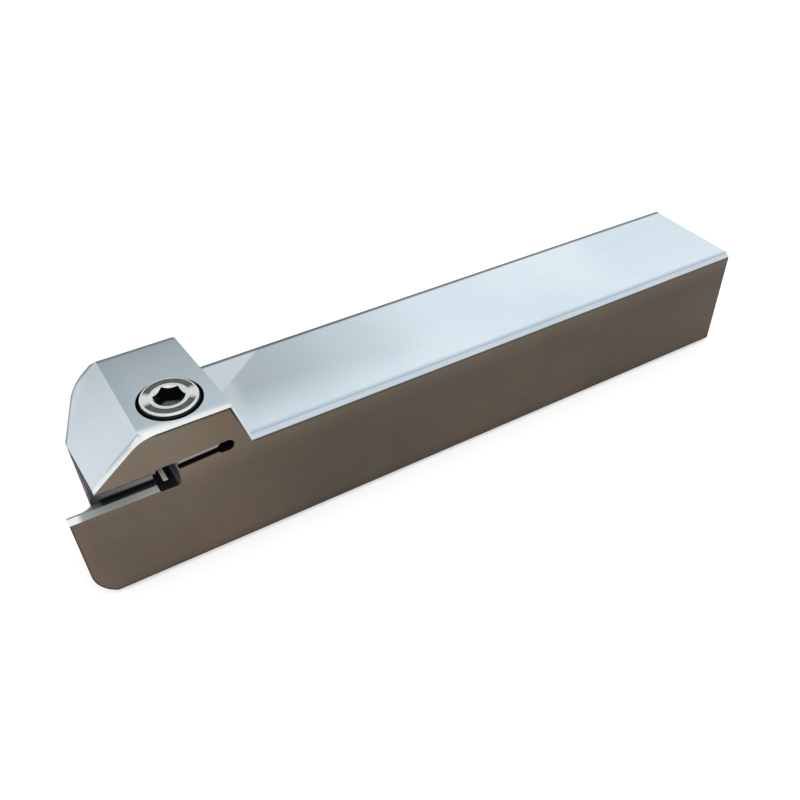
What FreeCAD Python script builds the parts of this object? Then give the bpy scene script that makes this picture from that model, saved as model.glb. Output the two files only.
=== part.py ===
"""Grooving tool holder: a one-piece square shank with a slotted spring jaw, and its clamp screw.

Millimetres. Every feature is placed from three faces of the bar: X runs back from the tip of the
support blade, Y runs across from the near side and Z runs up from the underside. The placements
of the finished pieces then put the origin under the middle of the holder.
"""
import FreeCAD, Part
import Sketcher
import math
import os

# Driving sizes, in millimetres and degrees

SIZES = {
    # bar
    "shank_height": 20.0,
    "shank_width": 20.0,
    "body_length": 125.0,
    "shank_edge_chamfer": 0.8,
    "end_chamfer": 0.8,
    # head above the bar
    "head_rise": 7.0,
    "brow_height": 0.5,
    "slant_length": 8.0,
    "step_foot": 27.1,
    "step_lean": 18.0,
    "step_skew": 3.5,
    "near_edge_break": 0.4,
    "far_edge_break": 0.7,
    "far_back_break": 1.0,
    "brow_round": 6.0,
    # support blade
    "blade_reach": 3.7,
    "blade_thickness": 1.5,
    "blade_blend": 2.2,
    "front_clearance": 3.0,
    "front_skew": 2.0,
    "toe_round": 6.0,
    # far front corner of the head
    "front_face_width": 12.0,
    "facet_angle": 27.5,
    "facet_round": 3.5,
    # insert pocket, for a grooving insert with a V groove along its top and bottom
    "insert_height": 3.5,
    "pocket_depth": 2.6,
    "ridge_inset": 1.0,
    "ridge_height": 0.36,
    "window_start": 12.6,
    "window_length": 3.2,
    "window_floor_relief": 0.2,
    "window_roof_relief": 0.6,
    "window_corner": 0.5,
    # spring slit, from the front face to its keyhole
    "slit_width": 0.75,
    "keyhole_station": 23.3,
    "keyhole_rise": 0.45,
    "keyhole_diameter": 1.9,
    "keyhole_pitch": 0.7,
    # clamp screw and its bore
    "screw_station": 17.9,
    "screw_inset": 5.6,
    "thread_diameter": 5.0,
    "thread_clearance": 0.05,
    "screw_length": 16.0,
    "screw_tip_chamfer": 0.6,
    "screw_head_diameter": 8.5,
    "screw_head_height": 5.0,
    "screw_head_chamfer": 0.5,
    "screw_head_proud": 0.6,
    "socket_width": 4.0,
    "socket_depth": 2.5,
    "socket_chamfer": 0.3,
    "counterbore_diameter": 9.4,
    "clearance_bore_diameter": 5.5,
    "tapped_spare_depth": 2.0,
    "drill_point_angle": 118.0,
}

# How far a cutting profile reaches past the metal
MARGIN = 2.0

doc = FreeCAD.newDocument("GroovingToolHolder")
sheet = doc.addObject("Spreadsheet::Sheet", "Sizes")
for row, (alias, value) in enumerate(SIZES.items(), start=1):
    sheet.set(f"A{row}", alias)
    sheet.set(f"B{row}", str(value))
    sheet.setAlias(f"B{row}", alias)
doc.recompute()


def size(alias):
    """A driving size as the features' expressions read it."""
    return f"Sizes.{alias}"


# Derived places, as expressions on the sheet

WIDTH = size("shank_width")
HEIGHT = size("shank_height")
LENGTH = size("body_length")
REACH = size("blade_reach")
HEAD_TOP = f"({HEIGHT} + {size('head_rise')})"
BROW = f"({HEIGHT} + {size('brow_height')})"
CREASE = f"({REACH} + {size('slant_length')})"
SLANT = f"atan(({size('head_rise')} - {size('brow_height')}) / {size('slant_length')})"
SEAT = f"({HEIGHT} - {size('insert_height')})"
POCKET_MIDDLE = f"({HEIGHT} - {size('insert_height')} / 2)"
WINDOW_END = f"({size('window_start')} + {size('window_length')})"
SLIT_FLOOR = f"({HEIGHT} - {size('slit_width')})"
KEYHOLE_LEVEL = f"({SLIT_FLOOR} + {size('slit_width')} / 2 + {size('keyhole_rise')})"
SCREW_HEAD_TOP = f"({HEAD_TOP} + {size('screw_head_proud')})"
SCREW_SEAT = f"({SCREW_HEAD_TOP} - {size('screw_head_height')})"
SCREW_TIP = f"({SCREW_SEAT} - {size('screw_length')})"


# Modelling helpers

def new_body(label):
    body = doc.addObject("PartDesign::Body", label)
    body.Label = label
    return body


def new_sketch(body, name, plane, **offset):
    """A sketch on one of the body's own planes, shifted along the sketch's x, y or z."""
    sketch = body.newObject("Sketcher::SketchObject", name)
    origin_plane = next(f for f in body.Origin.OriginFeatures if f.Role == plane)
    sketch.AttachmentSupport = [(origin_plane, "")]
    sketch.MapMode = "FlatFace"
    for axis, expression in offset.items():
        sketch.setExpression(f"AttachmentOffset.Base.{axis}", expression)
    doc.recompute()
    return sketch


def number(sketch, expression):
    """What an expression is worth now, to start the sketch near its solution."""
    value = sketch.evalExpression(str(expression))
    return float(getattr(value, "Value", value))


def bind(sketch, kind, *place, to):
    """A sketch dimension that follows an expression."""
    index = sketch.addConstraint(Sketcher.Constraint(kind, *place, number(sketch, to)))
    sketch.setExpression(f"Constraints[{index}]", str(to))


def arc_between(start, finish, radius):
    """The shorter arc between two points; a positive radius bulges to the left of the way."""
    way = finish - start
    across = FreeCAD.Vector(-way.y, way.x, 0).normalize() * math.copysign(1, radius)
    sagitta = abs(radius) - math.sqrt(radius ** 2 - (way.Length / 2) ** 2)
    return Part.Arc(start, start + way / 2 + across * sagitta, finish)


def draw_outline(sketch, corners, rounds=None):
    """A closed outline through corners given as pairs of expressions.

    rounds maps the number of an edge to (radius, bulge): that edge is an arc, and bulge is 1
    where the arc swells to the left of the way round and -1 where it swells to the right.
    """
    rounds = rounds or {}
    places = [FreeCAD.Vector(number(sketch, x), number(sketch, y), 0) for x, y in corners]
    shapes = []
    for index, start in enumerate(places):
        finish = places[(index + 1) % len(places)]
        if index in rounds:
            radius, bulge = rounds[index]
            shapes.append(arc_between(start, finish, bulge * number(sketch, radius)))
        else:
            shapes.append(Part.LineSegment(start, finish))
    edges = [sketch.addGeometry(shape, False) for shape in shapes]
    first_ends = []
    last_ends = []
    for index, edge in enumerate(edges):
        begins_here = sketch.getPoint(edge, 1).isEqual(places[index], 1e-6)
        first_ends.append(1 if begins_here else 2)
        last_ends.append(2 if begins_here else 1)
    for index, edge in enumerate(edges):
        after = (index + 1) % len(edges)
        sketch.addConstraint(
            Sketcher.Constraint("Coincident", edge, last_ends[index], edges[after], first_ends[after]))
        bind(sketch, "DistanceX", edge, first_ends[index], to=corners[index][0])
        bind(sketch, "DistanceY", edge, first_ends[index], to=corners[index][1])
    for index, (radius, bulge) in rounds.items():
        bind(sketch, "Radius", edges[index], to=radius)
    doc.recompute()


def draw_circle(sketch, centre, diameter):
    place = FreeCAD.Vector(number(sketch, centre[0]), number(sketch, centre[1]), 0)
    circle = Part.Circle(place, FreeCAD.Vector(0, 0, 1), number(sketch, diameter) / 2)
    edge = sketch.addGeometry(circle, False)
    bind(sketch, "DistanceX", edge, 3, to=centre[0])
    bind(sketch, "DistanceY", edge, 3, to=centre[1])
    bind(sketch, "Diameter", edge, to=diameter)
    doc.recompute()


def add_feature(body, kind, name, profile, bound=None, **settings):
    """A sketch-based feature; bound maps its properties to expressions."""
    feature = body.newObject(f"PartDesign::{kind}", name)
    feature.Profile = profile
    for key, setting in settings.items():
        setattr(feature, key, setting)
    for key, expression in (bound or {}).items():
        feature.setExpression(key, expression)
    doc.recompute()
    return feature


def add_cut(body, kind, name, profile, bound=None, **settings):
    """A sketch-based cut, which has to remove metal."""
    before = body.Shape.Volume
    feature = add_feature(body, kind, name, profile, bound, **settings)
    if not body.Shape.Volume < before:
        raise RuntimeError(f"{name} removes no metal")
    return feature


def edges_where(body, test):
    """Names of the body's edges whose middle point passes a test."""
    names = []
    for index, edge in enumerate(body.Shape.Edges, start=1):
        middle = edge.valueAt((edge.FirstParameter + edge.LastParameter) / 2)
        if test(middle):
            names.append(f"Edge{index}")
    return names


def dress(body, kind, name, edges, key, width):
    """A chamfer or fillet along named edges of the body as it stands."""
    feature = body.newObject(f"PartDesign::{kind}", name)
    feature.Base = (feature.BaseFeature, edges)
    feature.setExpression(key, width)
    doc.recompute()
    return feature


def close(a, b):
    return abs(a - b) < 1e-4


# Holder body: bar, head, support blade and spring jaw in one piece of steel

holder = new_body("holder_body")

# The blade's front leans back below its tip; above it a notch opens under the brow
TOE_CORNER = f"({SEAT} * tan({size('front_clearance')}))"
side = new_sketch(holder, "SideView", "XZ_Plane")
draw_outline(side, [
    (TOE_CORNER, "0"),
    (LENGTH, "0"),
    (LENGTH, HEIGHT),
    (size("step_foot"), HEIGHT),
    (size("step_foot"), HEAD_TOP),
    (CREASE, HEAD_TOP),
    (REACH, BROW),
    (REACH, POCKET_MIDDLE),
    ("0", POCKET_MIDDLE),
    ("0", SEAT),
])
add_feature(holder, "Pad", "Blank", side, {"Length": WIDTH}, Reversed=True)

# The step down to the bar leans back, and runs a little forward to the far side
step = new_sketch(holder, "StepView", "XZ_Plane", x=size("step_foot"))
upright = FreeCAD.Vector(0, 1, 0)
step.AttachmentOffset = FreeCAD.Placement(step.AttachmentOffset.Base,
                                          FreeCAD.Rotation(upright, sheet.step_skew))
step.setExpression("AttachmentOffset.Rotation.Angle", size("step_skew"))
draw_outline(step, [
    ("0", HEIGHT),
    (MARGIN, HEIGHT),
    (MARGIN, f"{HEAD_TOP} + {MARGIN}"),
    (f"-({size('head_rise')} + {MARGIN}) * tan({size('step_lean')})", f"{HEAD_TOP} + {MARGIN}"),
])
add_cut(holder, "Pocket", "StepFace", step, Type="ThroughAll", Midplane=True)

width = sheet.shank_width
height = sheet.shank_height
length = sheet.body_length
foot = sheet.step_foot
head_top = height + sheet.head_rise

long_edges = edges_where(holder, lambda p: (close(p.y, 0) or close(p.y, width))
                         and (close(p.z, 0) or close(p.z, height) and p.x > foot))
dress(holder, "Chamfer", "ShankEdges", long_edges, "Size", size("shank_edge_chamfer"))

end_edges = edges_where(holder, lambda p: close(p.x, length))
dress(holder, "Chamfer", "EndEdges", end_edges, "Size", size("end_chamfer"))

near_head_edges = edges_where(holder, lambda p: close(p.y, 0)
                              and p.z > height + sheet.brow_height and p.x < foot)
dress(holder, "Chamfer", "NearHeadEdges", near_head_edges, "Size", size("near_edge_break"))

far_step_edge = edges_where(holder, lambda p: close(p.y, width) and foot / 2 < p.x < foot
                            and p.z > height and not close(p.z, head_top))
dress(holder, "Chamfer", "FarBackCorner", far_step_edge, "Size", size("far_back_break"))

far_head_edge = edges_where(holder, lambda p: close(p.y, width) and close(p.z, head_top))
dress(holder, "Chamfer", "FarHeadEdge", far_head_edge, "Size", size("far_edge_break"))

# The near outline turns from slant to head top on a round, cut by a cone about its centre
BROW_CENTRE_X = (f"({CREASE} + ({size('near_edge_break')} + {size('brow_round')})"
                 f" * tan({SLANT} / 2))")
BROW_CENTRE_Z = f"({HEAD_TOP} - {size('near_edge_break')} - {size('brow_round')})"
cone = new_sketch(holder, "BrowConeView", "YZ_Plane", y=BROW_CENTRE_Z, z=BROW_CENTRE_X)
draw_outline(cone, [
    ("0", size("brow_round")),
    (f"{size('brow_round')} / 2", f"1.5 * {size('brow_round')}"),
    ("0", f"1.5 * {size('brow_round')}"),
])
add_cut(holder, "Groove", "BrowRound", cone, {"Angle": SLANT},
        ReferenceAxis=(cone, ["H_Axis"]), Reversed=True)

# Seen from above: the blade blends into the front face, and the far corner is faceted and rounded.
# The front face leans back below the brow by the same clearance as the blade.
FACET = size("facet_angle")
FACET_END = f"({REACH} + ({WIDTH} - {size('front_face_width')}) * tan({FACET}))"
FACET_TANGENT = f"({size('facet_round')} * tan((90 - {FACET}) / 2))"
plan = new_sketch(holder, "FrontFromAbove", "XY_Plane", x=f"{BROW} * tan({size('front_clearance')})")
draw_outline(plan, [
    (-MARGIN, size("blade_thickness")),
    (f"{REACH} - {size('blade_blend')}", size("blade_thickness")),
    (REACH, f"{size('blade_thickness')} + {size('blade_blend')}"),
    (REACH, size("front_face_width")),
    (f"{FACET_END} - {FACET_TANGENT} * sin({FACET})", f"{WIDTH} - {FACET_TANGENT} * cos({FACET})"),
    (f"{FACET_END} + {FACET_TANGENT}", WIDTH),
    (f"{FACET_END} + {FACET_TANGENT}", f"{WIDTH} + {MARGIN}"),
    (-MARGIN, f"{WIDTH} + {MARGIN}"),
], rounds={1: (size("blade_blend"), -1), 4: (size("facet_round"), 1)})
add_cut(holder, "Pocket", "FrontRelief", plan, {"Direction.x": f"-tan({size('front_clearance')})"},
        Type="ThroughAll", UseCustomVector=True, Direction=FreeCAD.Vector(0, 0, 1))

# The toe of the blade is rounded off below its leaning front
TOE_TANGENT = f"({size('toe_round')} * tan((90 - {size('front_clearance')}) / 2))"
toe = new_sketch(holder, "ToeView", "XZ_Plane")
draw_outline(toe, [
    (f"{TOE_CORNER} + {TOE_TANGENT}", "0"),
    (f"{TOE_CORNER} - {TOE_TANGENT} * sin({size('front_clearance')})",
     f"{TOE_TANGENT} * cos({size('front_clearance')})"),
    (-MARGIN, f"{TOE_TANGENT} * cos({size('front_clearance')})"),
    (-MARGIN, -MARGIN),
    (f"{TOE_CORNER} + {TOE_TANGENT}", -MARGIN),
], rounds={0: (size("toe_round"), 1)})
add_cut(holder, "Pocket", "ToeRound", toe, Type="ThroughAll")

# The jaw's front runs a little back to the near side, so its brow is highest there
brow = new_sketch(holder, "BrowFromAbove", "XY_Plane", z=POCKET_MIDDLE)
draw_outline(brow, [
    (-MARGIN, -MARGIN),
    (f"{REACH} + ({size('front_face_width')} + {MARGIN}) * tan({size('front_skew')})", -MARGIN),
    (REACH, size("front_face_width")),
    (-MARGIN, size("front_face_width")),
])
add_cut(holder, "Pocket", "BrowFace", brow, Type="ThroughAll", Reversed=True)

# The insert's passage, milled from the near side: a V ridge on the seat and another on the jaw
RIDGE = size("ridge_inset")
SEAT_FOOT = (f"({SEAT} + {size('ridge_height')}"
             f" * (2 * {RIDGE} - {size('pocket_depth')}) / {RIDGE})")
passage = new_sketch(holder, "PocketFromFront", "YZ_Plane")
draw_outline(passage, [
    (-MARGIN, SEAT),
    ("0", SEAT),
    (RIDGE, f"{SEAT} + {size('ridge_height')}"),
    (size("pocket_depth"), SEAT_FOOT),
    (size("pocket_depth"), HEIGHT),
    (f"2 * {RIDGE}", HEIGHT),
    (RIDGE, f"{HEIGHT} - {size('ridge_height')}"),
    ("0", HEIGHT),
    (-MARGIN, HEIGHT),
])
add_cut(holder, "Pocket", "InsertPocket", passage,
        {"Length": f"{size('window_start')} + {size('window_length')} / 2"}, Reversed=True)

# The window behind the pocket clears the insert's rear edge, and its rear wall is the stop
CORNER = size("window_corner")
WINDOW_FLOOR = f"({SEAT} - {size('window_floor_relief')})"
WINDOW_ROOF = f"({HEIGHT} + {size('window_roof_relief')})"
window = new_sketch(holder, "WindowView", "XZ_Plane")
draw_outline(window, [
    (f"{size('window_start')} + {CORNER}", WINDOW_FLOOR),
    (f"{WINDOW_END} - {CORNER}", WINDOW_FLOOR),
    (WINDOW_END, f"{WINDOW_FLOOR} + {CORNER}"),
    (WINDOW_END, f"{WINDOW_ROOF} - {CORNER}"),
    (f"{WINDOW_END} - {CORNER}", WINDOW_ROOF),
    (f"{size('window_start')} + {CORNER}", WINDOW_ROOF),
    (size("window_start"), f"{WINDOW_ROOF} - {CORNER}"),
    (size("window_start"), f"{WINDOW_FLOOR} + {CORNER}"),
], rounds={1: (CORNER, -1), 3: (CORNER, -1), 5: (CORNER, -1), 7: (CORNER, -1)})
add_cut(holder, "Pocket", "InsertWindow", window, Type="ThroughAll")

# The wire-cut slit runs level to the window, then climbs to the keyhole that ends it
front_slit = new_sketch(holder, "FrontSlitView", "XZ_Plane")
draw_outline(front_slit, [
    (-MARGIN, SLIT_FLOOR),
    (f"{size('window_start')} + {CORNER}", SLIT_FLOOR),
    (f"{size('window_start')} + {CORNER}", HEIGHT),
    (-MARGIN, HEIGHT),
])
add_cut(holder, "Pocket", "FrontSlit", front_slit, Type="ThroughAll")

rear_slit = new_sketch(holder, "RearSlitView", "XZ_Plane")
draw_outline(rear_slit, [
    (f"{WINDOW_END} - {CORNER}", SLIT_FLOOR),
    (size("keyhole_station"), f"{KEYHOLE_LEVEL} - {size('slit_width')} / 2"),
    (size("keyhole_station"), f"{KEYHOLE_LEVEL} + {size('slit_width')} / 2"),
    (f"{WINDOW_END} - {CORNER}", HEIGHT),
])
add_cut(holder, "Pocket", "RearSlit", rear_slit, Type="ThroughAll")

# Two holes drilled into one another make the keyhole longer than it is high
for name, station in (
        ("RearKeyhole", size("keyhole_station")),
        ("FrontKeyhole", f"{size('keyhole_station')} - {size('keyhole_pitch')}")):
    keyhole = new_sketch(holder, f"{name}View", "XZ_Plane")
    draw_circle(keyhole, (station, KEYHOLE_LEVEL), size("keyhole_diameter"))
    add_cut(holder, "Pocket", name, keyhole, Type="ThroughAll")

# One upright bore for the clamp screw: counterbore, clearance through the jaw, thread below it
TAP_RADIUS = f"({size('thread_diameter')} / 2 + {size('thread_clearance')})"
TAP_FLOOR = f"({SCREW_TIP} - {size('tapped_spare_depth')})"
bore = new_sketch(holder, "ClampBoreView", "XZ_Plane",
                  x=size("screw_station"), z=f"-{size('screw_inset')}")
draw_outline(bore, [
    ("0", f"{HEAD_TOP} + {MARGIN}"),
    ("0", f"{TAP_FLOOR} - {TAP_RADIUS} / tan({size('drill_point_angle')} / 2)"),
    (TAP_RADIUS, TAP_FLOOR),
    (TAP_RADIUS, HEIGHT),
    (f"{size('clearance_bore_diameter')} / 2", HEIGHT),
    (f"{size('clearance_bore_diameter')} / 2", SCREW_SEAT),
    (f"{size('counterbore_diameter')} / 2", SCREW_SEAT),
    (f"{size('counterbore_diameter')} / 2", f"{HEAD_TOP} + {MARGIN}"),
])
add_cut(holder, "Groove", "ClampBore", bore, ReferenceAxis=(bore, ["V_Axis"]), Angle=360)


# Clamp screw: a socket head cap screw, its thread drawn as a plain cylinder

screw = new_body("clamp_screw")
NECK = f"{size('thread_diameter')} / 2"
HEAD_RADIUS = f"{size('screw_head_diameter')} / 2"
turned = new_sketch(screw, "TurnedHalf", "XZ_Plane")
draw_outline(turned, [
    ("0", f"-{size('screw_length')}"),
    (f"{NECK} - {size('screw_tip_chamfer')}", f"-{size('screw_length')}"),
    (NECK, f"{size('screw_tip_chamfer')} - {size('screw_length')}"),
    (NECK, "0"),
    (HEAD_RADIUS, "0"),
    (HEAD_RADIUS, f"{size('screw_head_height')} - {size('screw_head_chamfer')}"),
    (f"{HEAD_RADIUS} - {size('screw_head_chamfer')}", size("screw_head_height")),
    ("0", size("screw_head_height")),
])
add_feature(screw, "Revolution", "TurnedBlank", turned, ReferenceAxis=(turned, ["V_Axis"]), Angle=360)

hexagon = new_sketch(screw, "SocketView", "XY_Plane", z=size("screw_head_height"))
ACROSS_CORNERS = f"({size('socket_width')} / cos(30))"
draw_outline(hexagon, [
    (f"{ACROSS_CORNERS} / 2 * cos({60 * corner})", f"{ACROSS_CORNERS} / 2 * sin({60 * corner})")
    for corner in range(6)
])
add_cut(screw, "Pocket", "HexSocket", hexagon, {"Length": size("socket_depth")})

# The socket's mouth is countersunk and its floor keeps the drill's cone
FLOOR = f"({size('screw_head_height')} - {size('socket_depth')})"
cones = new_sketch(screw, "SocketConesView", "XZ_Plane")
draw_outline(cones, [
    ("0", f"{FLOOR} - {size('socket_width')} / 2 / tan({size('drill_point_angle')} / 2)"),
    (f"{size('socket_width')} / 2", FLOOR),
    (f"{size('socket_width')} / 2", f"{size('screw_head_height')} - {size('socket_chamfer')}"),
    (f"{ACROSS_CORNERS} / 2 + {size('socket_chamfer')}", size("screw_head_height")),
    ("0", size("screw_head_height")),
])
add_cut(screw, "Groove", "SocketCones", cones, ReferenceAxis=(cones, ["V_Axis"]), Angle=360)


# Place both pieces about the middle of the holder's underside

def place(body, x, y, z):
    body.setExpression("Placement.Base.x", x)
    body.setExpression("Placement.Base.y", y)
    body.setExpression("Placement.Base.z", z)


place(holder, f"-{LENGTH} / 2", f"-{WIDTH} / 2", "0")
place(screw, f"{size('screw_station')} - {LENGTH} / 2", f"{size('screw_inset')} - {WIDTH} / 2", SCREW_SEAT)
doc.recompute()

for item in doc.Objects:
    if "Invalid" in item.State or "Error" in item.State:
        raise RuntimeError(f"{item.Name} failed to build")

os.makedirs("parts", exist_ok=True)
for body in (holder, screw):
    shape = body.Shape
    if shape.isNull() or not shape.isValid() or len(shape.Solids) != 1:
        raise RuntimeError(f"{body.Label} isn't one valid solid")
    shape.exportStep(f"parts/{body.Label}.step")
    print(body.Label, "volume", round(shape.Volume, 1), "mm3")
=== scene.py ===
import math

import bpy
from mathutils import Matrix, Vector


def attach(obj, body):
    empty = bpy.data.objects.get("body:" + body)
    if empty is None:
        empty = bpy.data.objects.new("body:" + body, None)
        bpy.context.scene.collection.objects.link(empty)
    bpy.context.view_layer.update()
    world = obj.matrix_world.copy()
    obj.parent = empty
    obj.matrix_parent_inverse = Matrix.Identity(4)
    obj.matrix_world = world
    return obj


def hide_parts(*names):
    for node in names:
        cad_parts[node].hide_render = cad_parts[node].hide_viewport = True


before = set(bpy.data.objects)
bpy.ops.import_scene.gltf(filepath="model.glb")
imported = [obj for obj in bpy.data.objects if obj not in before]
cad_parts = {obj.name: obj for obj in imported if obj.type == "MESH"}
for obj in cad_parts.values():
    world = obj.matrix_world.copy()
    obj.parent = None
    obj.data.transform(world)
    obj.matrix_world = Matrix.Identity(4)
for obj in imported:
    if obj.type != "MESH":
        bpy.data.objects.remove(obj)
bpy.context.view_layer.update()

MM = 0.001

# The holder, as its solid has it
TIP_X = -62.5 * MM
NEAR_Y = -10 * MM
FAR_Y = 10 * MM
SHANK_TOP = 20 * MM
HEAD_TOP = 27 * MM
SEAT_LEVEL = 16.5 * MM
POCKET_WALL_Y = -7.4 * MM
WINDOW_FRONT_X = -50.2 * MM
WINDOW_BACK_X = -46.4 * MM
KEYHOLE_TOP = 21.1 * MM
COUNTERBORE_LOW_Z = 20.9 * MM
# A little more than the radii of the screw's counterbore and of the bore under it
COUNTERBORE_REACH = 4.75 * MM
BORE_REACH = 2.78 * MM

# The slit's middle at the window, and how it climbs from there
SLIT_X = -47.2 * MM
SLIT_Z = 19.625 * MM
SLIT_CLIMB = 0.056
# The near edge of the step behind the head, at its top, and how it leans back from there
STEP_X = -37.97 * MM
STEP_Z = 26.6 * MM
STEP_LEAN = 0.383
# A point on the slope's front facet, the facet's angle to the bar's length, and its round's centre
FACET_X = -58.8 * MM
FACET_Y = 2 * MM
FACET_SINE = 0.895
FACET_COSINE = 0.446
ROUND_X = -52.77 * MM
ROUND_Y = 6.5 * MM
# The blade's front leans back below its tip, and ends in a toe round about this centre
FRONT_LEAN = math.tan(math.radians(3))
TOE_X = -55.94 * MM
TOE_Z = 6.0 * MM

SCREW_X = -44.6 * MM
SCREW_Y = -4.4 * MM
SCREW_SEAT_Z = 22.6 * MM
SCREW_HEAD_HEIGHT = 5.0 * MM
HEAD_SIDES = 96
BEARING_RADIUS = 4.1 * MM
# The head's turned outline from its bearing face up: how far each step rises, and its radius, in mm
HEAD_OUTLINE = ((0.15, 4.25), (3.55, 4.25), (0.1, 4.17), (0.1, 4.17), (0.1, 4.25), (0.5, 4.25),
                (0.25, 4.12), (0.15, 4.08), (0.1, 3.98), (0.0, 3.8), (0.0, 2.8))
THREAD_RADIUS = 2.5 * MM
THREAD_PITCH = 0.8 * MM
THREAD_LENGTH = 16.0 * MM
THREAD_TURNS = 16
CORE_RADIUS = THREAD_RADIUS - 0.44 * MM
NECK_LENGTH = 1.5 * MM
TIP_CHAMFER = 0.6 * MM
TIP_RADIUS = 1.7 * MM
KEY_WIDTH = 4.0 * MM
SOCKET_DEPTH = 2.5 * MM
SOCKET_TURN = math.radians(8)

FLOOR_GLOW = 0.4
# Name, place, size and watts of each lamp
SOFTBOXES = (("softbox_by_camera", (0.30, -0.52, 0.52), 1.5, 1.6),
             ("softbox_behind_camera", (-0.45, -0.45, 0.45), 1.2, 0.8))
SENSOR_WIDTH = 36.0
PICTURE_PIXELS = 800
FOCAL_PIXELS = 895.6


# Picking in edit mode

def deselect_everything():
    if bpy.context.object and bpy.context.object.mode != "OBJECT":
        bpy.ops.object.mode_set(mode="OBJECT")
    bpy.ops.object.select_all(action="DESELECT")


def make_active(piece):
    deselect_everything()
    piece.select_set(True)
    bpy.context.view_layer.objects.active = piece


def pick_faces(piece, test):
    """Select the faces whose centre and normal pass a test, leaving edit mode on."""
    bpy.ops.object.mode_set(mode="EDIT")
    bpy.ops.mesh.select_mode(type="FACE")
    bpy.ops.mesh.select_all(action="DESELECT")
    bpy.ops.object.mode_set(mode="OBJECT")
    for face in piece.data.polygons:
        face.select = bool(test(face.center, face.normal))
    bpy.ops.object.mode_set(mode="EDIT")


def settle(piece):
    """Put the piece's place into its mesh and leave its object at the origin."""
    make_active(piece)
    bpy.ops.object.transform_apply(location=True, rotation=True, scale=True)


def smooth_by_angle(piece, angle):
    """Round faces shade smooth and flat ones stay flat, each weighed by its area."""
    make_active(piece)
    bpy.ops.object.shade_smooth_by_angle(angle=math.radians(angle))
    weigh = piece.modifiers.new("weigh", "WEIGHTED_NORMAL")
    weigh.mode = "FACE_AREA"
    weigh.weight = 100
    weigh.keep_sharp = True
    bpy.ops.object.modifier_apply(modifier=weigh.name)


# Finishes

def srgb(red, green, blue):
    """A colour written as it looks, 0 to 255, turned to the linear numbers a shader takes."""
    def linear(value):
        value = value / 255
        return value / 12.92 if value <= 0.04045 else ((value + 0.055) / 1.055) ** 2.4
    return (linear(red), linear(green), linear(blue), 1.0)


class Finish:
    """A material being put together: small calls that add a node and return its output."""

    def __init__(self, name):
        self.material = bpy.data.materials.new(name)
        self.material.use_nodes = True
        self.tree = self.material.node_tree
        self.shader = self.tree.nodes["Principled BSDF"]
        self.place = self.tree.nodes.new("ShaderNodeTexCoord").outputs["Object"]

    def feed(self, socket, value):
        if isinstance(value, bpy.types.NodeSocket):
            self.tree.links.new(value, socket)
        else:
            socket.default_value = value

    def axis(self, name):
        node = self.tree.nodes.new("ShaderNodeSeparateXYZ")
        self.tree.links.new(self.place, node.inputs[0])
        return node.outputs[name]

    def stretch(self, x, y, z):
        mapping = self.tree.nodes.new("ShaderNodeMapping")
        mapping.inputs["Scale"].default_value = (x, y, z)
        self.tree.links.new(self.place, mapping.inputs["Vector"])
        return mapping.outputs["Vector"]

    def noise(self, vector, scale, detail=3.0, roughness=0.5):
        node = self.tree.nodes.new("ShaderNodeTexNoise")
        self.tree.links.new(vector, node.inputs["Vector"])
        node.inputs["Scale"].default_value = scale
        node.inputs["Detail"].default_value = detail
        node.inputs["Roughness"].default_value = roughness
        return node.outputs["Fac"]

    def span(self, value, low, high, to_low=0.0, to_high=1.0, curve="LINEAR"):
        """Carry low to high over to to_low to to_high, and hold the ends beyond them."""
        node = self.tree.nodes.new("ShaderNodeMapRange")
        node.interpolation_type = curve
        self.feed(node.inputs["Value"], value)
        node.inputs["From Min"].default_value = low
        node.inputs["From Max"].default_value = high
        node.inputs["To Min"].default_value = to_low
        node.inputs["To Max"].default_value = to_high
        return node.outputs["Result"]

    def ease(self, value, low, high, to_low=0.0, to_high=1.0):
        """The same as span, with a soft start and end."""
        return self.span(value, low, high, to_low, to_high, "SMOOTHSTEP")

    def mix(self, factor, first, second):
        node = self.tree.nodes.new("ShaderNodeMix")
        node.data_type = "RGBA"
        self.feed(node.inputs[0], factor)
        self.feed(node.inputs[6], first)
        self.feed(node.inputs[7], second)
        return node.outputs[2]

    def reckon(self, operation, first, second=0.0):
        node = self.tree.nodes.new("ShaderNodeMath")
        node.operation = operation
        self.feed(node.inputs[0], first)
        self.feed(node.inputs[1], second)
        return node.outputs[0]

    def plus(self, first, second):
        return self.reckon("ADD", first, second)

    def minus(self, first, second):
        return self.reckon("SUBTRACT", first, second)

    def times(self, first, second):
        return self.reckon("MULTIPLY", first, second)

    def larger(self, first, second):
        return self.reckon("MAXIMUM", first, second)

    def reach(self, across, up):
        """How far a point lies from a centre, from its two offsets."""
        squares = self.plus(self.times(across, across), self.times(up, up))
        return self.reckon("SQRT", squares)

    def bump(self, height, strength, normal=None):
        node = self.tree.nodes.new("ShaderNodeBump")
        node.inputs["Strength"].default_value = strength
        node.inputs["Distance"].default_value = 0.02 * MM
        self.tree.links.new(height, node.inputs["Height"])
        if normal is not None:
            self.tree.links.new(normal, node.inputs["Normal"])
        return node.outputs["Normal"]


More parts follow.
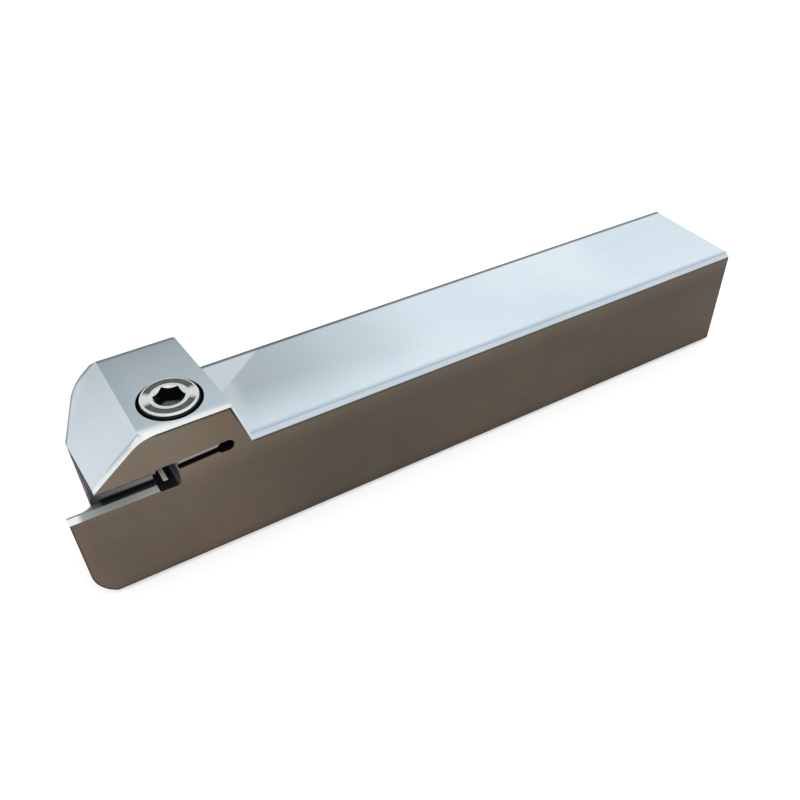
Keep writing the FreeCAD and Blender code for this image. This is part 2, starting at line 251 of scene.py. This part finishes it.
def satin_steel(name, tone, second_tone, roughness=0.34, lines=(60, 3000, 3000), metallic=0.92,
                mottle=90, tint=None, shading=None, specular=0.5):
    """Ground steel under a thin satin plating, with the grinding lines along the bar.

    shading is a call that takes the finish and its colour so far and returns the colour with
    the painted reflections, highlights and shade of one surface, and its marks, laid over it.
    """
    finish = Finish(name)
    cloud = finish.noise(finish.place, mottle, 4.0)
    colour = finish.mix(finish.span(cloud, 0.3, 0.7), srgb(*tone), srgb(*second_tone))
    if tint:
        speck = finish.noise(finish.place, 420, 2.0)
        colour = finish.mix(finish.span(speck, 0.45, 0.75, 0.0, 0.5), colour, srgb(*tint))
    grain = finish.noise(finish.stretch(*lines), 1.0, 4.0, 0.6)
    colour = finish.mix(finish.span(grain, 0.3, 0.7, 0.0, 0.045), colour, srgb(20, 20, 22))
    if shading:
        colour = shading(finish, colour)
    finish.feed(finish.shader.inputs["Base Color"], colour)
    finish.shader.inputs["Metallic"].default_value = metallic
    finish.shader.inputs["Specular IOR Level"].default_value = specular
    rough = finish.span(grain, 0.25, 0.75, roughness - 0.05, roughness + 0.07)
    finish.feed(finish.shader.inputs["Roughness"], rough)
    pits = finish.noise(finish.place, 2600, 3.0)
    normal = finish.bump(pits, 0.06, finish.bump(grain, 0.10))
    finish.feed(finish.shader.inputs["Normal"], normal)
    return finish.material


# Colour over single surfaces: painted reflections, highlights and shade, and some real marks

def shank_top_painted_reflections(finish, colour):
    """Painted reflections: a bright patch and band behind the head, dimmer further back, then brighter
    to the end; greyer towards the near edge, and painted shade along the far edge.
    """
    x = finish.axis("X")
    y = finish.axis("Y")
    wander = finish.span(finish.noise(finish.place, 60, 2.0), 0.3, 0.7, -1.2 * MM, 1.2 * MM)
    along = finish.plus(x, wander)
    cloud = finish.ease(finish.noise(finish.place, 38, 2.0, 0.4), 0.35, 0.65, 0.0, 0.5)
    colour = finish.mix(cloud, colour, srgb(204, 219, 229))
    # Painted reflection: dimmer further back along the top.
    painted_dim_reflection = finish.times(finish.ease(along, -32 * MM, 8 * MM, 0.80, 0.0),
                        finish.ease(y, -9.5 * MM, 1 * MM, 0.25, 1.0))
    colour = finish.mix(painted_dim_reflection, colour, srgb(150, 162, 168))
    # Painted highlights: a patch and a band just behind the head.
    slant = finish.minus(x, finish.times(y, 1.26))
    patch = finish.ease(slant, -36.7 * MM, -37.6 * MM, 0.0, 0.8)
    band = finish.ease(along, -32.0 * MM, -34.8 * MM, 0.0, 0.5)
    colour = finish.mix(finish.larger(patch, band), colour, srgb(204, 212, 219))
    colour = finish.mix(finish.ease(y, -8.3 * MM, -9.2 * MM, 0.0, 0.45), colour, srgb(146, 164, 176))
    # Painted shade along the far edge.
    return finish.mix(finish.span(y, 8.35 * MM, 8.75 * MM, 0.0, 0.85), colour, srgb(70, 76, 80))


def shank_chamfer_lines_and_painted_shade(finish, colour):
    """A greyer line where the chamfer leaves the top, a dark one where it meets the side, and painted shade
    on the far side.
    """
    z = finish.axis("Z")
    colour = far_chamfer_painted_shade(finish, colour)
    colour = finish.mix(finish.ease(z, 19.72 * MM, 19.95 * MM, 0.0, 0.75), colour, srgb(142, 160, 172))
    return finish.mix(finish.span(z, 19.34 * MM, 19.22 * MM, 0.0, 0.8), colour, srgb(70, 66, 60))


def far_chamfer_painted_shade(finish, colour):
    """The chamfers on the far side are painted dark, as the shade that falls on them."""
    return finish.mix(finish.span(finish.axis("Y"), 4 * MM, 5 * MM, 0.0, 0.9), colour, srgb(74, 79, 83))


def head_top_painted_light(finish, colour):
    """Painted reflections, darker to the far side and along the crease; a painted highlight on the near
    edge, most at the crease, and painted shade along the far edge.
    """
    x = finish.axis("X")
    y = finish.axis("Y")
    colour = finish.mix(finish.span(y, -9 * MM, 9 * MM, 0.0, 0.8), colour, srgb(138, 149, 156))
    colour = finish.mix(finish.ease(x, -50.6 * MM, -47.5 * MM, 0.30, 0.0), colour, srgb(140, 156, 164))
    # Painted highlight along the near edge, strongest at the crease.
    off_crease = finish.times(finish.plus(x, 49 * MM), 0.08)
    near = finish.ease(finish.plus(y, off_crease), -8.2 * MM, -9.4 * MM, 0.0, 0.9)
    colour = finish.mix(near, colour, srgb(230, 236, 239))
    # Painted shade along the far edge.
    return finish.mix(finish.span(y, 8.5 * MM, 8.9 * MM, 0.0, 0.7), colour, srgb(96, 104, 110))


def slope_painted_light(finish, colour):
    """Painted reflections: darker to the far side and brighter down towards the brow, with a thin
    rim of painted shade.

    The near edge has a painted highlight, with a thin greyer line inside it.
    """
    x = finish.axis("X")
    y = finish.axis("Y")
    z = finish.axis("Z")
    colour = finish.mix(finish.span(y, -5 * MM, 9 * MM, 0.0, 0.75), colour, srgb(172, 182, 190))
    colour = finish.mix(finish.span(z, 26 * MM, 21 * MM, 0.0, 0.25), colour, srgb(226, 233, 238))
    line = finish.times(finish.ease(y, -9.15 * MM, -8.95 * MM, 1.0, 0.0),
                        finish.ease(z, 22 * MM, 24 * MM, 0.0, 0.55))
    colour = finish.mix(line, colour, srgb(136, 152, 164))
    # Painted shade along the far rim.
    colour = finish.mix(slope_rim_painted_shade(finish, x, y), colour, srgb(128, 134, 144))
    # Painted highlight along the near edge.
    near = finish.times(finish.ease(y, -9.3 * MM, -9.6 * MM, 0.0, 1.0),
                        finish.ease(z, 21.5 * MM, 24 * MM, 0.0, 0.5))
    return finish.mix(near, colour, srgb(226, 231, 233))


def slope_rim_painted_shade(finish, x, y):
    """A thin line of painted shade along the slope's far rim: the front facet, its round and the far side.
    """
    off_facet = finish.minus(finish.times(finish.minus(x, FACET_X), FACET_SINE),
                             finish.times(finish.minus(y, FACET_Y), FACET_COSINE))
    facet = finish.span(off_facet, 0.42 * MM, 0.25 * MM)
    across = finish.minus(x, ROUND_X)
    up = finish.minus(y, ROUND_Y)
    corner = finish.times(finish.span(y, 7.9 * MM, 8.1 * MM), finish.span(across, 0.0, -0.1 * MM))
    rounded = finish.times(corner, finish.span(finish.reach(across, up), 3.0 * MM, 3.2 * MM))
    far = finish.span(y, 9.2 * MM, 9.4 * MM)
    return finish.times(finish.larger(facet, finish.larger(rounded, far)), 0.8)


def side_marks(finish, colour):
    """Straw-brown, lighter about the jaw and dark along the underside, with warm spots.

    The slit's edges are dark, with a bright line over them, and thin dark lines run along the rim.
    """
    x = finish.axis("X")
    z = finish.axis("Z")
    colour = finish.mix(finish.ease(x, -52 * MM, -20 * MM, 0.0, 0.45), colour, srgb(52, 48, 38))
    colour = finish.mix(finish.ease(x, 10 * MM, 45 * MM, 0.0, 0.3), colour, srgb(56, 42, 36))
    colour = finish.mix(finish.ease(z, 3 * MM, 0.9 * MM, 0.0, 0.35), colour, srgb(44, 40, 36))
    jaw = finish.times(finish.ease(z, 15 * MM, 20 * MM, 0.0, 0.36),
                       finish.ease(x, -36 * MM, -48 * MM, 0.5, 1.0))
    colour = finish.mix(jaw, colour, srgb(140, 130, 112))
    rust = finish.times(finish.span(finish.noise(finish.place, 55, 3.0), 0.48, 0.66),
                        finish.span(x, -30 * MM, -55 * MM, 0.12, 0.45))
    colour = finish.mix(rust, colour, srgb(112, 88, 66))
    colour = finish.mix(finish.ease(x, -59.4 * MM, -62 * MM, 0.0, 0.36), colour, srgb(112, 82, 70))
    warm_corner = finish.times(finish.ease(z, 22.5 * MM, 26 * MM, 0.0, 0.5),
                               finish.ease(x, -43 * MM, -38 * MM, 0.0, 1.0))
    colour = finish.mix(warm_corner, colour, srgb(112, 86, 60))
    warm_toe = finish.times(finish.ease(z, 3 * MM, 0.5 * MM, 0.0, 0.25),
                            finish.span(x, -50 * MM, -56 * MM))
    colour = finish.mix(warm_toe, colour, srgb(118, 92, 62))
    bright, dark_slit_edges = beside_the_slit(finish, x, z)
    colour = finish.mix(bright, colour, srgb(158, 152, 144))
    colour = finish.mix(dark_slit_edges, colour, srgb(24, 21, 19))
    rim = finish.larger(lower_outline(finish, x, z), step_outline(finish, x, z))
    rim = finish.larger(rim, jaw_outline(finish, x, z))
    return finish.mix(rim, colour, srgb(38, 35, 32))


def beside_the_slit(finish, x, z):
    """A bright line above the slit, and dark edges along it."""
    climb = finish.times(finish.minus(x, SLIT_X), SLIT_CLIMB)
    off = finish.minus(z, finish.plus(climb, SLIT_Z))
    along = finish.times(finish.span(x, -46.7 * MM, -46.5 * MM), finish.span(x, -39.8 * MM, -40.4 * MM))
    bright = finish.times(finish.span(off, 0.50 * MM, 0.56 * MM),
                          finish.span(off, 1.0 * MM, 0.75 * MM, 0.0, 0.75))
    dark_slit_edges = finish.span(finish.reckon("ABSOLUTE", off), 0.60 * MM, 0.50 * MM, 0.0, 0.9)
    return finish.times(bright, along), finish.times(dark_slit_edges, along)


def step_outline(finish, x, z):
    """A thin dark line on the near side, under the head's edge, down the step, along the shank."""
    edge = finish.times(finish.minus(STEP_Z, z), STEP_LEAN)
    inside = finish.minus(finish.plus(edge, STEP_X), x)
    step = finish.times(finish.span(inside, 0.44 * MM, 0.3 * MM), finish.span(z, 19.4 * MM, 19.6 * MM))
    top = finish.times(finish.span(z, 26.2 * MM, 26.36 * MM, 0.0, 0.8),
                       finish.span(x, -49.2 * MM, -48.6 * MM))
    shoulder = finish.times(finish.span(z, 18.9 * MM, 19.05 * MM, 0.0, 0.7),
                            finish.span(x, -35.4 * MM, -35.1 * MM))
    on_near_side = finish.span(finish.axis("Y"), -9.8 * MM, -9.95 * MM)
    return finish.times(finish.larger(step, finish.larger(top, shoulder)), on_near_side)


def lower_outline(finish, x, z):
    """A thin dark line along the side's underside, round the toe and up the front."""
    under = finish.span(z, 1.2 * MM, 0.85 * MM)
    across = finish.minus(x, TOE_X)
    up = finish.minus(z, TOE_Z)
    corner = finish.times(finish.span(across, 0.1 * MM, -0.1 * MM), finish.span(up, 0.1 * MM, -0.1 * MM))
    toe = finish.times(finish.span(finish.reach(across, up), 5.62 * MM, 5.9 * MM), corner)
    lean = finish.plus(x, finish.times(z, FRONT_LEAN))
    height = finish.times(finish.span(up, -0.1 * MM, 0.1 * MM),
                          finish.span(z, 16.6 * MM, 16.4 * MM, 0.0, 0.8))
    front = finish.times(finish.span(lean, -61.3 * MM, -61.55 * MM), height)
    return finish.times(finish.larger(under, finish.larger(toe, front)), 0.8)


def jaw_outline(finish, x, z):
    """A thin dark line along the jaw's lower edge, over the pocket."""
    over_pocket = finish.times(finish.span(z, 19.8 * MM, 19.9 * MM),
                               finish.span(x, -50.2 * MM, -50.4 * MM))
    return finish.times(finish.span(z, 20.3 * MM, 20.1 * MM, 0.0, 0.75), over_pocket)


def seat_tone_and_painted_highlight(finish, colour):
    """The near flank of the seat's ridge: a painted white highlight at the tip, lighter at the window."""
    x = finish.axis("X")
    # Painted white highlight at the tip.
    colour = finish.mix(finish.ease(x, -60.4 * MM, -61.4 * MM, 0.0, 0.9), colour, srgb(235, 238, 240))
    return finish.mix(finish.ease(x, -56 * MM, -50.5 * MM, 0.0, 0.5), colour, srgb(186, 188, 180))


def pocket_wall_tone_and_painted_shade(finish, colour):
    """Lighter towards the window, and painted black shade in the corner over the ridge."""
    x = finish.axis("X")
    colour = finish.mix(finish.ease(x, -57 * MM, -50.5 * MM, 0.0, 0.85), colour, srgb(196, 198, 190))
    colour = finish.mix(finish.ease(x, -56.4 * MM, -58.6 * MM, 0.0, 0.9), colour, srgb(70, 68, 70))
    # Painted black shade in the corner over the ridge.
    return ridge_shadow(finish, colour, finish.span(finish.axis("Z"), 16.82 * MM, 16.7 * MM))


# The ridge's far flank, painted black as shade.
def far_flank_painted_shade(finish, colour):
    return ridge_shadow(finish, colour, 1.0)


def ridge_shadow(finish, colour, amount):
    """Painted black shade behind the ridge, thinning out towards the tip of the blade."""
    painted_ridge_shade = finish.times(finish.ease(finish.axis("X"), -58.2 * MM, -57.2 * MM, 0.0, 0.97), amount)
    return finish.mix(painted_ridge_shade, colour, srgb(26, 28, 34))


def slit_marks(finish, colour):
    """The slit's mouth is charcoal like the front that it opens on."""
    mouth = finish.span(finish.axis("X"), -53.5 * MM, -56.5 * MM, 0.0, 0.95)
    return finish.mix(mouth, colour, srgb(84, 79, 81))


def window_tones_and_painted_reflection(finish, colour):
    """Black wire-cut walls: a painted reflection as a bright band on the floor, the rear wall lighter, and
    a lighter spot on its top.
    """
    x = finish.axis("X")
    y = finish.axis("Y")
    z = finish.axis("Z")
    # Painted reflection: a bright band on the window's floor.
    across = finish.times(finish.span(x, -48.78 * MM, -48.68 * MM), finish.span(x, -48.0 * MM, -48.1 * MM))
    deep = finish.times(finish.span(y, -8.2 * MM, -8.1 * MM), finish.span(y, -5.3 * MM, -5.4 * MM))
    painted_reflection_stripe = finish.times(finish.times(across, deep), finish.span(z, 17.0 * MM, 16.9 * MM))
    colour = finish.mix(painted_reflection_stripe, colour, srgb(255, 255, 255))
    rear = finish.times(finish.span(x, -47.3 * MM, -46.8 * MM), finish.span(y, 0.0, -5 * MM))
    colour = finish.mix(finish.times(rear, 0.9), colour, srgb(88, 90, 96))
    top_spot = finish.times(finish.span(z, 18.7 * MM, 19.0 * MM), finish.span(y, -8.4 * MM, -8.8 * MM))
    top_spot = finish.times(top_spot, finish.span(x, -47.0 * MM, -46.8 * MM, 0.0, 0.8))
    return finish.mix(top_spot, colour, srgb(206, 208, 212))


def finishes_of_the_holder():
    looks = {
        "shank_top_ground": dict(tone=(224, 237, 245), second_tone=(219, 232, 241), mottle=40,
                                 shading=shank_top_painted_reflections),
        "head_top_ground": dict(tone=(188, 200, 207), second_tone=(182, 195, 202), mottle=40,
                                shading=head_top_painted_light),
        "slope_milled": dict(tone=(207, 216, 223), second_tone=(202, 212, 219), mottle=40,
                             shading=slope_painted_light),
        "step_milled": dict(tone=(200, 208, 214), second_tone=(188, 197, 204), lines=(3000, 60, 3000)),
        "side_burnished": dict(tone=(99, 88, 75), second_tone=(91, 80, 69), tint=(92, 80, 70),
                               roughness=0.5, metallic=0.7, shading=side_marks),
        # The underside is painted dark as shade, since it faces down.
        "underside_painted_shade": dict(tone=(46, 44, 42), second_tone=(38, 36, 34), roughness=0.5, metallic=0.6),
        "front_charcoal": dict(tone=(80, 75, 77), second_tone=(68, 64, 66), roughness=0.6, metallic=0.2,
                               specular=0.2),
        "chamfer_polished": dict(tone=(220, 224, 224), second_tone=(212, 217, 217), roughness=0.3,
                                 shading=far_chamfer_painted_shade),
        "shank_chamfer": dict(tone=(186, 197, 205), second_tone=(180, 191, 199), roughness=0.3,
                              shading=shank_chamfer_lines_and_painted_shade),
        # The slit's and keyhole's wire-cut faces are dark and painted near black as shade; the bores round
        # the screw take it as painted shade.
        "dark_cuts_and_painted_shade": dict(tone=(12, 12, 14), second_tone=(8, 8, 10), roughness=0.7, metallic=0.0,
                              specular=0.1, shading=slit_marks),
        "window_wire_cut": dict(tone=(30, 31, 34), second_tone=(18, 18, 20), roughness=0.5, metallic=0.0,
                                specular=0.2, shading=window_tones_and_painted_reflection),
        "seat_milled": dict(tone=(150, 155, 155), second_tone=(142, 147, 148), roughness=0.45,
                            metallic=0.25, shading=seat_tone_and_painted_highlight),
        "pocket_wall_milled": dict(tone=(156, 160, 162), second_tone=(146, 150, 152), metallic=0.5,
                                   shading=pocket_wall_tone_and_painted_shade),
        "ridge_far_flank": dict(tone=(124, 132, 136), second_tone=(114, 122, 126), metallic=0.5,
                                shading=far_flank_painted_shade),
    }
    return {name: satin_steel(name, **look) for name, look in looks.items()}


def surface_of(place, normal):
    """The finish of one of the holder's faces, by its place and the way it looks."""
    x, y, z = place
    on_near_side = normal.y < -0.98 and y < NEAR_Y + 0.01 * MM
    on_far_side = normal.y > 0.98 and y > FAR_Y - 0.01 * MM
    on_a_side = on_near_side or on_far_side
    in_head = x < -38 * MM
    bore_reach = COUNTERBORE_REACH if z > COUNTERBORE_LOW_Z else BORE_REACH
    # The counterbore and the bore round the screw are painted near black, as shade in the gap round the
    # screw.
    if math.hypot(x - SCREW_X, y - SCREW_Y) < bore_reach and 3 * MM < z < HEAD_TOP - 0.02 * MM:
        return "dark_cuts_and_painted_shade"
    # Faces turned down at the bottom are painted dark as shade.
    if normal.z < -0.3 and z < 1 * MM:
        return "underside_painted_shade"
    if normal.z > 0.97 and z > HEAD_TOP - 0.1 * MM:
        return "head_top_ground"
    if normal.z > 0.97 and abs(z - SHANK_TOP) < 0.1 * MM and x > -39 * MM:
        return "shank_top_ground"
    if normal.x < -0.4 and normal.z > 0.5 and abs(normal.y) < 0.2 and x < -50 * MM:
        return "slope_milled"
    if z > SHANK_TOP - 1.5 * MM and normal.z > 0.45 and abs(normal.y) > 0.3 and x > -60 * MM:
        if not (in_head and z < SHANK_TOP + 0.3 * MM):
            return "shank_chamfer" if z < SHANK_TOP else "chamfer_polished"
    if z > SHANK_TOP and normal.x > 0.3 and x > -40 * MM and not (in_head and z < KEYHOLE_TOP):
        return "step_milled"
    inside = in_head and SEAT_LEVEL - 0.6 * MM < z < SHANK_TOP + 2 * MM
    if inside and not on_a_side and WINDOW_FRONT_X < x < WINDOW_BACK_X:
        return "window_wire_cut"
    if inside and z < SEAT_LEVEL + 0.6 * MM and normal.z > 0.6:
        return "seat_milled" if normal.y < 0.1 else "ridge_far_flank"
    if inside and normal.y < -0.9 and abs(y - POCKET_WALL_Y) < 0.1 * MM:
        return "pocket_wall_milled"
    level = abs(normal.z) > 0.5 or x > WINDOW_BACK_X
    if inside and level and not on_a_side and x > TIP_X + 3.0 * MM:
        return "dark_cuts_and_painted_shade"
    if not on_a_side and (normal.x < -0.02 or x < -56 * MM):
        return "front_charcoal"
    return "side_burnished"


def dress_holder():
    """A copy of the solid with its doubles merged and each surface in its own finish."""
    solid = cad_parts["holder_body"]
    holder = solid.copy()
    holder.data = solid.data.copy()
    holder.name = "holder_body_finished"
    holder.parent = None
    bpy.context.collection.objects.link(holder)
    make_active(holder)
    bpy.ops.object.mode_set(mode="EDIT")
    bpy.ops.mesh.select_all(action="SELECT")
    bpy.ops.mesh.remove_doubles(threshold=0.001 * MM)
    bpy.ops.object.mode_set(mode="OBJECT")
    finishes = finishes_of_the_holder()
    holder.data.materials.clear()
    for material in finishes.values():
        holder.data.materials.append(material)
    order = list(finishes)
    for face in holder.data.polygons:
        face.material_index = order.index(surface_of(face.center, face.normal))
    smooth_by_angle(holder, 20)
    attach(holder, "holder")
    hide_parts("holder_body")


# Clamp screw

def turned_piece(name, sides, foot, radius, outline):
    """A round piece on the screw's axis, drawn from a disc along an outline.

    The outline gives, for each step, how far the end rises or sinks and its new radius.
    """
    deselect_everything()
    bpy.ops.mesh.primitive_circle_add(vertices=sides, radius=radius, fill_type="NGON",
                                      location=(SCREW_X, SCREW_Y, foot))
    piece = bpy.context.object
    piece.name = name
    bpy.ops.object.mode_set(mode="EDIT")
    bpy.ops.mesh.select_all(action="SELECT")
    for rise, new_radius in outline:
        scale = new_radius / radius
        bpy.ops.mesh.extrude_region_move(TRANSFORM_OT_translate={"value": (0, 0, rise)})
        bpy.ops.transform.resize(value=(scale, scale, 1), center_override=(SCREW_X, SCREW_Y, 0))
        radius = new_radius
    bpy.ops.mesh.select_all(action="SELECT")
    bpy.ops.mesh.normals_make_consistent(inside=False)
    bpy.ops.object.mode_set(mode="OBJECT")
    settle(piece)
    return piece


def roll_knurl(head):
    """Every other flat of the grip sinks a little, which leaves straight ribs."""
    low = SCREW_SEAT_Z + 0.3 * MM
    high = SCREW_SEAT_Z + 3.6 * MM
    make_active(head)

    def is_groove(place, normal):
        step = math.atan2(place.y - SCREW_Y, place.x - SCREW_X) / (2 * math.pi / HEAD_SIDES)
        return low < place.z < high and abs(normal.z) < 0.2 and math.floor(step) % 2 == 0

    pick_faces(head, is_groove)
    bpy.ops.mesh.inset(thickness=0.02 * MM, depth=-0.10 * MM, use_individual=True)
    bpy.ops.object.mode_set(mode="OBJECT")


def cut_away(piece, cutter):
    make_active(piece)
    cut = piece.modifiers.new("cut", "BOOLEAN")
    cut.operation = "DIFFERENCE"
    cut.solver = "EXACT"
    cut.object = cutter
    bpy.ops.object.modifier_apply(modifier=cut.name)
    bpy.data.objects.remove(cutter)


def cut_socket(head):
    """A broached hexagon with a drilled cone under it and a countersink round its mouth."""
    top = SCREW_SEAT_Z + SCREW_HEAD_HEIGHT
    corners = KEY_WIDTH / math.cos(math.radians(30)) / 2
    floor_margin = 0.35 * MM
    cone_depth = 0.9 * MM
    deselect_everything()
    bpy.ops.mesh.primitive_cylinder_add(vertices=6, radius=corners, depth=2 * SOCKET_DEPTH,
                                        location=(SCREW_X, SCREW_Y, top), rotation=(0, 0, SOCKET_TURN))
    broach = bpy.context.object
    settle(broach)
    pick_faces(broach, lambda place, normal: normal.z < -0.9)
    bpy.ops.mesh.inset(thickness=floor_margin, depth=0)
    bpy.ops.mesh.extrude_region_move(TRANSFORM_OT_translate={"value": (0, 0, -cone_depth)})
    bpy.ops.mesh.merge(type="CENTER")
    bpy.ops.object.mode_set(mode="OBJECT")
    cut_away(head, broach)
    deselect_everything()
    bpy.ops.mesh.primitive_cone_add(vertices=HEAD_SIDES, radius1=corners - floor_margin,
                                    radius2=corners + 0.25 * MM, depth=0.6 * MM,
                                    location=(SCREW_X, SCREW_Y, top))
    countersink = bpy.context.object
    settle(countersink)
    cut_away(head, countersink)


def wind_thread():
    """The thread: one V turned down a helix, with its ends closed."""
    deselect_everything()
    bpy.ops.mesh.primitive_plane_add(size=THREAD_PITCH, location=(0, 0, 0), rotation=(math.pi / 2, 0, 0))
    thread = bpy.context.object
    thread.name = "clamp_screw_thread"
    settle(thread)
    bpy.ops.object.mode_set(mode="EDIT")
    bpy.ops.mesh.select_mode(type="EDGE")
    bpy.ops.mesh.select_all(action="DESELECT")
    bpy.ops.object.mode_set(mode="OBJECT")
    for edge in thread.data.edges:
        edge.select = all(thread.data.vertices[point].co.x > 0 for point in edge.vertices)
    bpy.ops.object.mode_set(mode="EDIT")
    bpy.ops.transform.resize(value=(1, 1, 0.15), center_override=(0, 0, 0))
    bpy.ops.mesh.select_all(action="SELECT")
    bpy.ops.transform.translate(value=(THREAD_RADIUS - THREAD_PITCH / 2, 0, 0))
    bpy.ops.object.mode_set(mode="OBJECT")
    turns = thread.modifiers.new("turns", "SCREW")
    turns.angle = 2 * math.pi
    turns.screw_offset = -THREAD_PITCH
    turns.iterations = THREAD_TURNS
    turns.steps = 48
    turns.render_steps = 48
    turns.use_merge_vertices = False
    make_active(thread)
    bpy.ops.object.modifier_apply(modifier=turns.name)
    thread.location = (SCREW_X, SCREW_Y, SCREW_SEAT_Z - 2.0 * MM)
    settle(thread)
    bpy.ops.object.mode_set(mode="EDIT")
    bpy.ops.mesh.select_all(action="SELECT")
    bpy.ops.mesh.fill_holes(sides=4)
    bpy.ops.mesh.normals_make_consistent(inside=False)
    bpy.ops.object.mode_set(mode="OBJECT")
    return thread


def screw_finishes():
    face = Finish("screw_face_turned_painted_reflection")
    turning = face.noise(face.stretch(900, 900, 900), 1.0, 3.0, 0.6)
    tone = face.mix(face.span(turning, 0.3, 0.7), srgb(90, 96, 96), srgb(70, 76, 76))
    # The fan of bright sectors round the axis is a painted reflection, as a turned face throws it.
    angle = face.reckon("ARCTAN2", face.minus(face.axis("Y"), SCREW_Y), face.minus(face.axis("X"), SCREW_X))
    painted_fan_reflection = face.reckon("COSINE", face.minus(face.times(angle, 2.0), math.radians(330)))
    tone = face.mix(face.ease(painted_fan_reflection, 0.55, 0.98, 0.0, 0.85), tone, srgb(224, 228, 224))
    face.feed(face.shader.inputs["Base Color"], tone)
    face.shader.inputs["Metallic"].default_value = 0.9
    face.feed(face.shader.inputs["Roughness"], face.span(turning, 0.3, 0.7, 0.20, 0.34))
    face.feed(face.shader.inputs["Normal"], face.bump(turning, 0.15))
    rim = satin_steel("screw_rim_bright", (226, 229, 226), (196, 201, 197), roughness=0.2,
                      lines=(1500, 1500, 1500))
    side = satin_steel("screw_side_blackened", (20, 20, 22), (13, 13, 15), roughness=0.5, metallic=0.5,
                       lines=(1500, 1500, 1500))
    socket = satin_steel("socket_broached", (40, 42, 40), (24, 26, 24), roughness=0.3, metallic=0.8,
                         lines=(1500, 1500, 60))
    drill = satin_steel("socket_drill_cone", (176, 186, 182), (150, 160, 156), roughness=0.3,
                        lines=(900, 900, 900))
    return [face.material, rim, side, socket, drill]


def screw_surface(place, normal):
    """0 the turned face, 1 the bright rim and countersink, 2 the sides, 3 the socket, 4 its cone."""
    away = math.hypot(place.x - SCREW_X, place.y - SCREW_Y)
    up = place.z - SCREW_SEAT_Z
    if normal.z > 0.95 and up > 4.9 * MM and away > 2.4 * MM:
        return 1 if away > 3.82 * MM else 0
    if up > 4.8 * MM and away > 3.5 * MM and normal.z > 0.1:
        return 1
    if up > 4.6 * MM and away < 3.4 * MM and normal.z > 0.2:
        return 1
    if up > 1.0 * MM and away < 2.6 * MM:
        return 4 if normal.z > 0.3 else 3
    return 2


def make_screw():
    """Socket head cap screw: turned head with a rolled knurl, hexagon socket and cut thread."""
    head = turned_piece("clamp_screw_turned", HEAD_SIDES, SCREW_SEAT_Z, BEARING_RADIUS,
                        [(rise * MM, radius * MM) for rise, radius in HEAD_OUTLINE])
    roll_knurl(head)
    cut_socket(head)
    below_neck = NECK_LENGTH + TIP_CHAMFER - THREAD_LENGTH
    core = turned_piece("clamp_screw_core", 48, SCREW_SEAT_Z + 0.2 * MM, THREAD_RADIUS,
                        [(-1.4 * MM, THREAD_RADIUS), (-0.3 * MM, CORE_RADIUS), (below_neck, CORE_RADIUS),
                         (-TIP_CHAMFER, TIP_RADIUS)])
    thread = wind_thread()
    make_active(head)
    core.select_set(True)
    thread.select_set(True)
    bpy.ops.object.join()
    head.data.materials.clear()
    for material in screw_finishes():
        head.data.materials.append(material)
    for face in head.data.polygons:
        face.material_index = screw_surface(face.center, face.normal)
    smooth_by_angle(head, 30)
    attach(head, "clamp_screw")
    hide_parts("clamp_screw")


# Floor, lamps and camera

def lay_floor():
    """White paper under and behind the holder; it takes the holder's shadow."""
    deselect_everything()
    bpy.ops.mesh.primitive_plane_add(size=6.0, location=(0, 0, 0))
    floor = bpy.context.object
    floor.name = "paper_floor"
    paper = Finish("white_paper")
    paper.shader.inputs["Base Color"].default_value = (0.8, 0.8, 0.8, 1)
    paper.shader.inputs["Roughness"].default_value = 0.9
    paper.shader.inputs["Specular IOR Level"].default_value = 0.0
    rays = paper.tree.nodes.new("ShaderNodeLightPath").outputs
    seen = paper.larger(rays["Is Camera Ray"],
                        paper.larger(rays["Is Transmission Ray"], rays["Is Glossy Ray"]))
    glow = paper.tree.nodes.new("ShaderNodeEmission")
    glow.inputs["Color"].default_value = (1, 1, 1, 1)
    paper.feed(glow.inputs["Strength"], paper.times(seen, FLOOR_GLOW))
    both = paper.tree.nodes.new("ShaderNodeAddShader")
    paper.feed(both.inputs[0], paper.shader.outputs[0])
    paper.feed(both.inputs[1], glow.outputs[0])
    paper.feed(paper.tree.nodes["Material Output"].inputs["Surface"], both.outputs[0])
    floor.data.materials.append(paper.material)


def light_studio():
    world = bpy.data.worlds.new("studio")
    bpy.context.scene.world = world
    world.use_nodes = True
    world.node_tree.nodes["Background"].inputs["Color"].default_value = (1, 1, 1, 1)
    world.node_tree.nodes["Background"].inputs["Strength"].default_value = 1.0
    aim = Vector((0, 0, 0.02))
    for name, place, size, power in SOFTBOXES:
        lamp = bpy.data.lights.new(name, "AREA")
        lamp.size = size
        lamp.energy = power
        softbox = bpy.data.objects.new(name, lamp)
        bpy.context.collection.objects.link(softbox)
        softbox.location = place
        softbox.rotation_euler = (aim - Vector(place)).to_track_quat("-Z", "Y").to_euler()


def aim_camera():
    """The camera, as fitted to the corners of the holder's outline."""
    lens = bpy.data.cameras.new("camera")
    lens.sensor_width = SENSOR_WIDTH
    lens.lens = SENSOR_WIDTH * FOCAL_PIXELS / PICTURE_PIXELS
    lens.clip_start = 0.01
    camera = bpy.data.objects.new("camera", lens)
    bpy.context.collection.objects.link(camera)
    right = Vector((0.85181674, -0.5238373, 0.00165012))
    up = Vector((0.33522724, 0.54753131, 0.76670213))
    back = Vector((-0.40253067, -0.65253655, 0.64200087))
    turn = Matrix((right, up, back)).transposed().to_4x4()
    turn.translation = Vector((-0.067369, -0.101948, 0.106410))
    camera.matrix_world = turn
    bpy.context.scene.camera = camera


dress_holder()
make_screw()
lay_floor()
light_studio()
aim_camera()
bpy.context.scene.view_settings.view_transform = "Standard"
